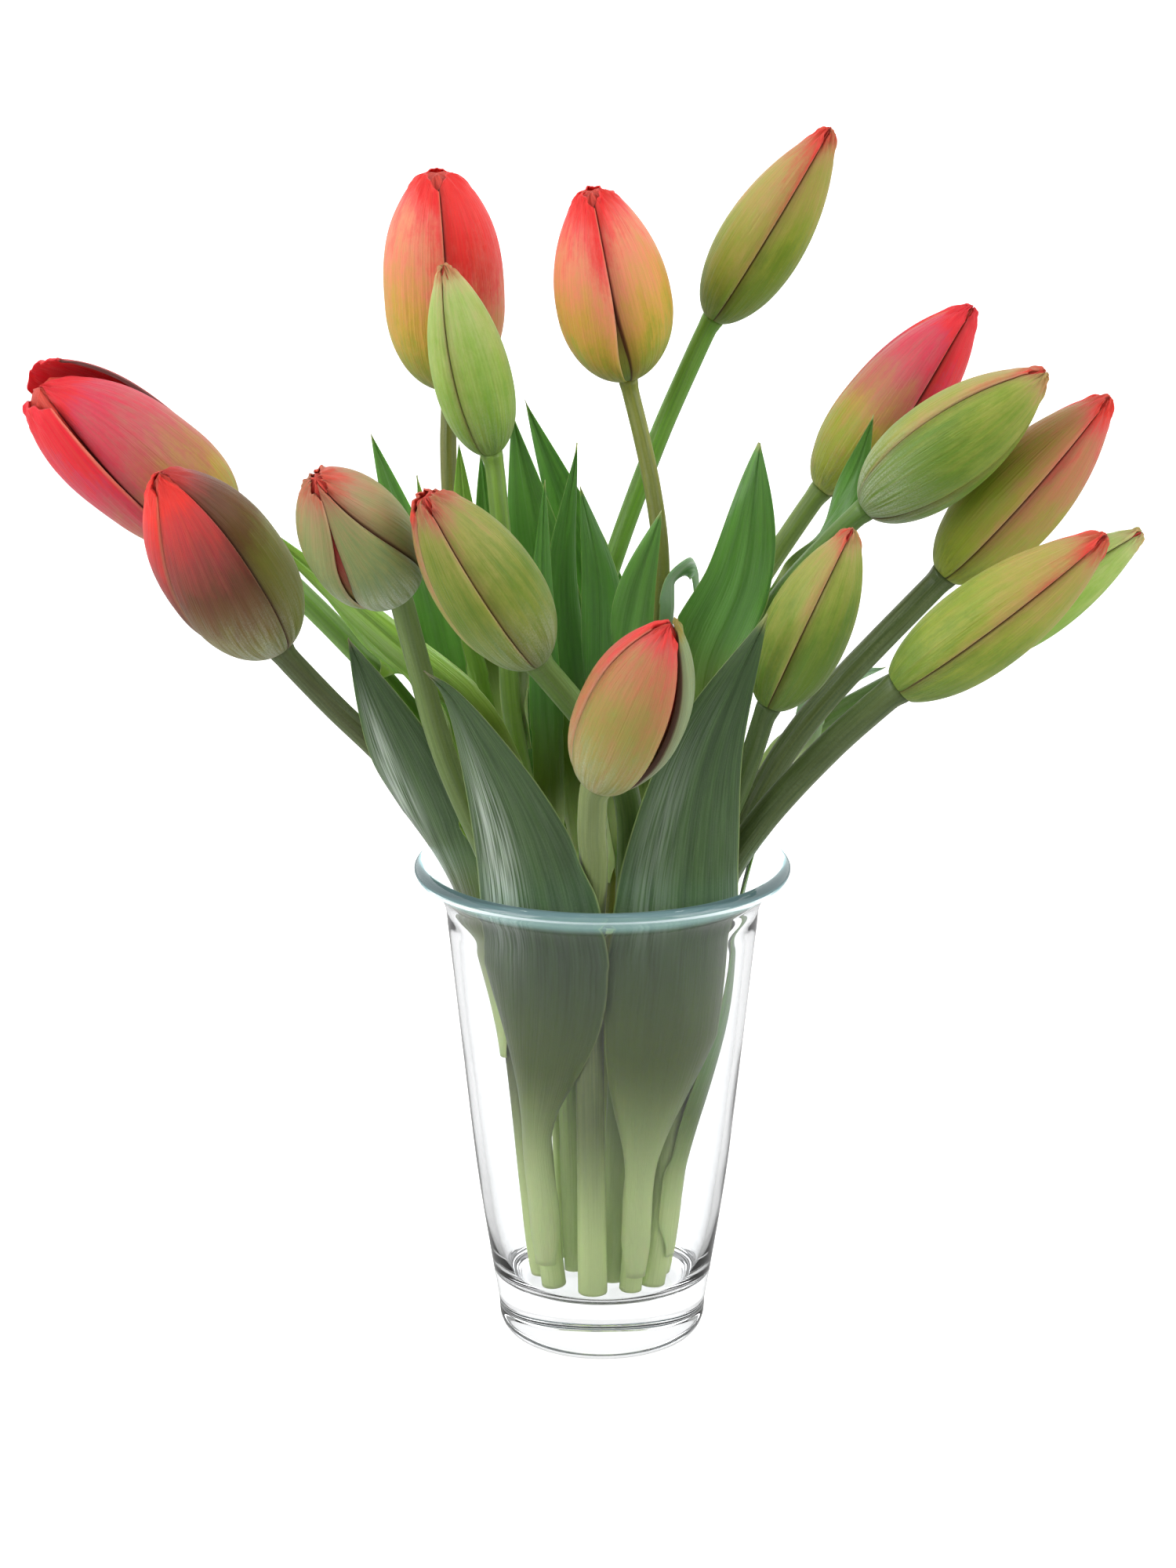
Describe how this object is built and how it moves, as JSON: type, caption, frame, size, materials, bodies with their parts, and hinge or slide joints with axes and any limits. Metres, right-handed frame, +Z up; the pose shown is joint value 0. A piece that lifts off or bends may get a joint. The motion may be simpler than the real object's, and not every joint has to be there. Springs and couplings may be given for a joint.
{
  "type": "tulips in a vase",
  "caption": "Cut tulips in bud with their leaves, fanning out of a tapered clear glass vase with a thick floor and a flared, rolled rim.",
  "frame": {"origin": "centre of the vase's flat underside", "axes": "+Z up along the vase's axis; -Y faces the viewer's side, where the lowest buds lean out"},
  "size_m": [0.3494, 0.173, 0.3876],
  "materials": {
    "vase_glass": "gloss",
    "stem_green": "satin",
    "leaf_green": "satin",
    "tepal_red": "satin",
    "tepal_tan": "satin",
    "tepal_green": "satin"
  },
  "bodies": {
    "root": {"vase": "vase_glass", "stem_01": "stem_green", "stem_02": "stem_green", "stem_03": "stem_green", "stem_04": "stem_green", "stem_05": "stem_green", "stem_06": "stem_green", "stem_07": "stem_green", "stem_08": "stem_green", "stem_09": "stem_green", "stem_10": "stem_green", "stem_11": "stem_green", "stem_12": "stem_green", "stem_13": "stem_green", "stem_14": "stem_green", "stem_15": "stem_green", "bud_01": "tepal_red", "bud_02": "tepal_green", "bud_03": "tepal_red", "bud_04": "tepal_green", "bud_05": "tepal_red", "bud_06": "tepal_green", "bud_07": "tepal_tan", "bud_08": "tepal_green", "bud_09": "tepal_green", "bud_10": "tepal_green", "bud_11": "tepal_tan", "bud_12": "tepal_green", "bud_13": "tepal_green", "bud_14": "tepal_tan", "bud_15": "tepal_red", "leaf_01": "leaf_green", "leaf_02": "leaf_green", "leaf_03": "leaf_green", "leaf_04": "leaf_green", "leaf_05": "leaf_green", "leaf_06": "leaf_green", "leaf_07": "leaf_green", "leaf_08": "leaf_green", "leaf_09": "leaf_green", "leaf_10": "leaf_green", "leaf_11": "leaf_green", "leaf_12": "leaf_green", "leaf_13": "leaf_green", "leaf_14": "leaf_green", "leaf_15": "leaf_green", "leaf_16": "leaf_green", "leaf_17": "leaf_green", "leaf_18": "leaf_green", "leaf_19": "leaf_green", "leaf_20": "leaf_green"}
  },
  "joints": []
}
